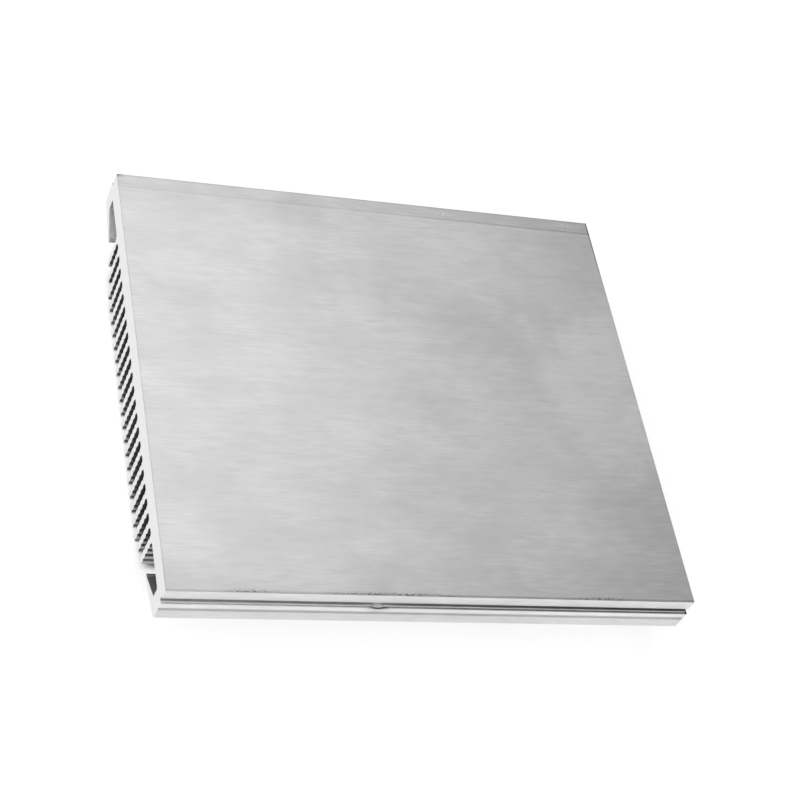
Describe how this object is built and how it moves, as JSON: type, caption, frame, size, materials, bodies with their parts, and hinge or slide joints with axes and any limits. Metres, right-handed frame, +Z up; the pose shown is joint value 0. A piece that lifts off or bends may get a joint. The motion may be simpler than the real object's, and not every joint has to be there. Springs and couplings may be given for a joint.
{
  "type": "heat sink",
  "caption": "Flat extruded aluminium heat sink with a row of ridged fins under a base plate, and grooved side rails with slanting flanges.",
  "frame": {"origin": "under the middle of the sink, at the level of the fin tips", "axes": "+X along the extrusion, +Y across the fins, +Z up, out of the flat base face"},
  "size_m": [0.1, 0.091, 0.015],
  "materials": {
    "aluminium": "mill finish with fine drawn lines, sawn ends"
  },
  "bodies": {
    "root": {"heat_sink": "aluminium"}
  },
  "joints": []
}
